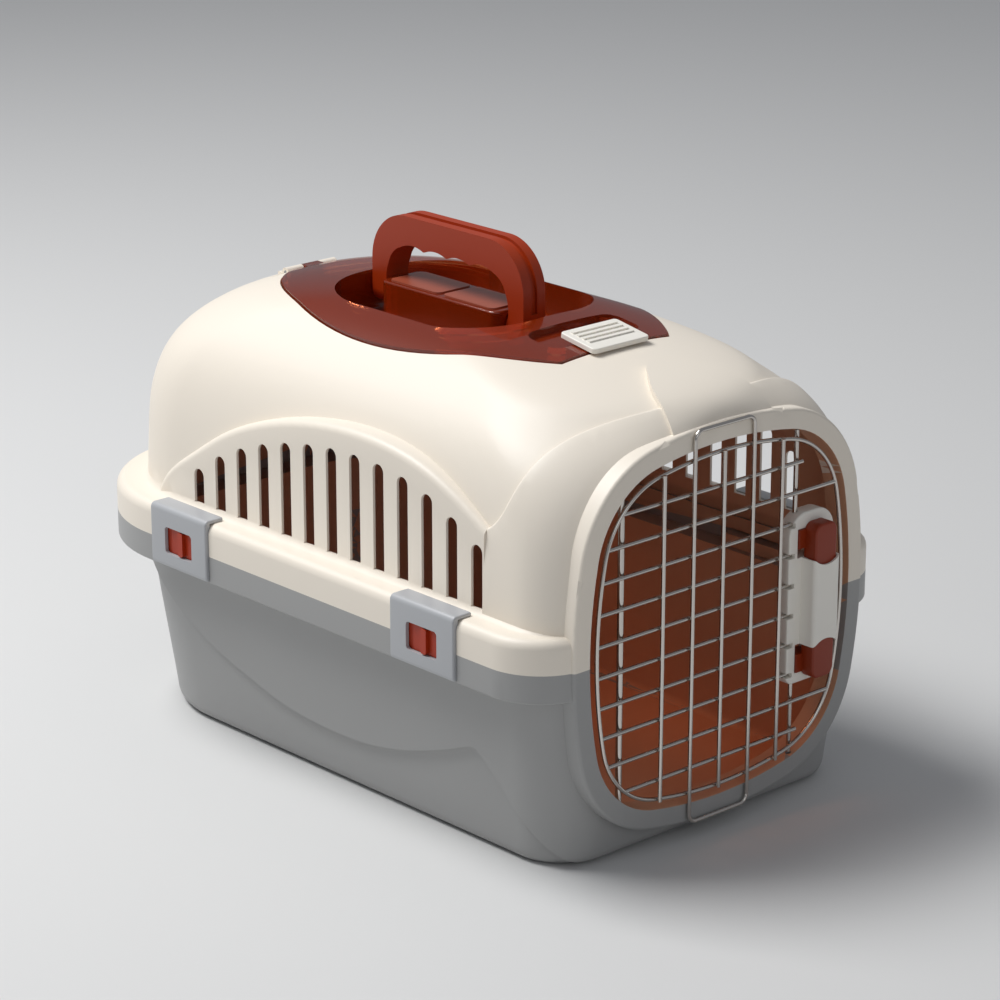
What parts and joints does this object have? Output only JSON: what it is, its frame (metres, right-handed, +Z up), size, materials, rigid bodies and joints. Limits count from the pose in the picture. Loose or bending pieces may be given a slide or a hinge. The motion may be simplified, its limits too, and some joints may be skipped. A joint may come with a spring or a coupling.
{
  "type": "pet travel carrier",
  "caption": "Small-pet travel carrier: tub and slotted upper shell, wire front door with squeeze latch, hinged skylight lid with folding handle, and side clips.",
  "frame": {"origin": "on the resting face, midway between the rear of the flange and the face of the door ring, on the middle plane", "axes": "+X towards the wire door, +Y across, +Z up"},
  "size_m": [0.4906, 0.3152, 0.341],
  "materials": {
    "shell_cream": "satin moulded plastic",
    "tub_grey": "satin moulded plastic",
    "clip_grey": "satin moulded plastic",
    "button_orange": "semi-gloss",
    "button_brown": "semi-gloss",
    "handle_rust": "semi-gloss",
    "amber_plastic": "glossy tinted translucent plastic",
    "plate_rose": "fine texture",
    "latch_cream": "satin moulded plastic",
    "wire_chrome": "bright plated wire",
    "steel": "plain"
  },
  "bodies": {
    "shells": {"upper_shell": "shell_cream", "lower_tub": "tub_grey", "lid_hinge_pin": "steel", "clip_pin_rear_left": "steel", "clip_pin_rear_right": "steel", "clip_pin_front_left": "steel", "clip_pin_front_right": "steel"},
    "door": {"door_rim_wire": "wire_chrome", "door_cross_wires": "wire_chrome", "door_upright_wires": "wire_chrome", "door_stop_loop": "wire_chrome", "door_hinge_rod": "wire_chrome", "latch_base": "latch_cream", "latch_cover": "latch_cream", "latch_spring": "steel"},
    "door_latch_upper": {"latch_button_upper": "button_brown", "latch_rod_upper": "wire_chrome"},
    "door_latch_lower": {"latch_button_lower": "button_brown", "latch_rod_lower": "wire_chrome"},
    "lid": {"skylight_lid": "amber_plastic", "plinth_plate_rear": "plate_rose", "plinth_plate_front": "plate_rose", "handle_pin_rear": "steel", "handle_pin_front": "steel"},
    "lid_slide": {"lid_latch": "latch_cream"},
    "handle": {"carry_handle": "handle_rust"},
    "clip_rear_left": {"clip_rear_left": "clip_grey"},
    "clip_button_rear_left": {"clip_button_rear_left": "button_orange"},
    "clip_rear_right": {"clip_rear_right": "clip_grey"},
    "clip_button_rear_right": {"clip_button_rear_right": "button_orange"},
    "clip_front_left": {"clip_front_left": "clip_grey"},
    "clip_button_front_left": {"clip_button_front_left": "button_orange"},
    "clip_front_right": {"clip_front_right": "clip_grey"},
    "clip_button_front_right": {"clip_button_front_right": "button_orange"}
  },
  "joints": [
    {"name": "door_hinge", "type": "hinge", "parent": "shells", "child": "door", "pos_m": [0.2336, -0.084, 0.138], "axis": [0, 0, -1], "range_deg": [0, 90]},
    {"name": "door_latch_upper_slide", "type": "slide", "parent": "door", "child": "door_latch_upper", "axis": [0, 0, -1], "range_m": [0, 0.006], "stiffness_N_per_m": 400, "springref_m": -0.004, "deforming": ["latch_spring"]},
    {"name": "door_latch_lower_slide", "type": "slide", "parent": "door", "child": "door_latch_lower", "axis": [0, 0, 1], "range_m": [0, 0.006], "stiffness_N_per_m": 400, "springref_m": -0.004, "deforming": ["latch_spring"]},
    {"name": "lid_hinge", "type": "hinge", "parent": "shells", "child": "lid", "pos_m": [-0.1545, 0, 0.2842], "axis": [0, -1, 0], "range_deg": [0, 95]},
    {"name": "lid_latch_slide", "type": "slide", "parent": "lid", "child": "lid_slide", "axis": [-0.9871, 0, 0.1599], "range_m": [0, 0.008]},
    {"name": "handle_pivot", "type": "hinge", "parent": "lid", "child": "handle", "pos_m": [-0.005, 0, 0.287], "axis": [1, 0, 0], "range_deg": [-85, 85]},
    {"name": "clip_rear_left_hinge", "type": "hinge", "parent": "shells", "child": "clip_rear_left", "pos_m": [-0.102, 0.153, 0.1202], "axis": [-1, 0, 0], "range_deg": [0, 90]},
    {"name": "clip_button_rear_left_slide", "type": "slide", "parent": "clip_rear_left", "child": "clip_button_rear_left", "axis": [-1, 0, 0], "range_m": [0, 0.004]},
    {"name": "clip_rear_right_hinge", "type": "hinge", "parent": "shells", "child": "clip_rear_right", "pos_m": [-0.102, -0.153, 0.1202], "axis": [1, 0, 0], "range_deg": [0, 90]},
    {"name": "clip_button_rear_right_slide", "type": "slide", "parent": "clip_rear_right", "child": "clip_button_rear_right", "axis": [-1, 0, 0], "range_m": [0, 0.004]},
    {"name": "clip_front_left_hinge", "type": "hinge", "parent": "shells", "child": "clip_front_left", "pos_m": [0.1375, 0.153, 0.1202], "axis": [-1, 0, 0], "range_deg": [0, 90]},
    {"name": "clip_button_front_left_slide", "type": "slide", "parent": "clip_front_left", "child": "clip_button_front_left", "axis": [-1, 0, 0], "range_m": [0, 0.004]},
    {"name": "clip_front_right_hinge", "type": "hinge", "parent": "shells", "child": "clip_front_right", "pos_m": [0.1375, -0.153, 0.1202], "axis": [1, 0, 0], "range_deg": [0, 90]},
    {"name": "clip_button_front_right_slide", "type": "slide", "parent": "clip_front_right", "child": "clip_button_front_right", "axis": [-1, 0, 0], "range_m": [0, 0.004]}
  ]
}
